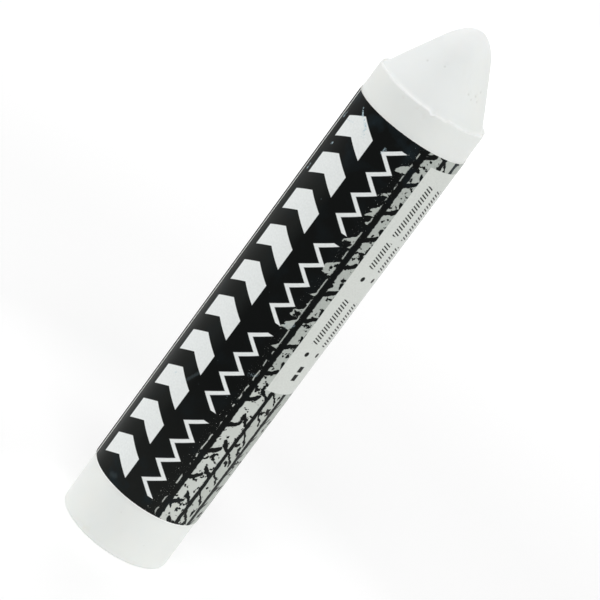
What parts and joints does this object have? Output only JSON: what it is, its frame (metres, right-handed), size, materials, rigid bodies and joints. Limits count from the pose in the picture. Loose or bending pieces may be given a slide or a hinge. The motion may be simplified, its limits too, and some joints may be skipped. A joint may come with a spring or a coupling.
{
  "type": "wax marking crayon",
  "caption": "Stout wax marking crayon with a blunt conical point and a printed wrap-round label, for marking rubber, metal and timber.",
  "frame": {"origin": "centre of the flat butt face, on which the crayon stands", "axes": "+Z along the crayon's axis towards its point; -Y is the front of the label"},
  "size_m": [0.0221, 0.022, 0.1125],
  "materials": {
    "wax": "white pigmented wax, smooth as cast, with a soft waxy sheen and fine pits",
    "label": "glossy laminated paper label, black ground with white and grey print, lightly scuffed"
  },
  "bodies": {
    "root": {"wax_stick": "wax", "wrap_label": "label"}
  },
  "joints": []
}
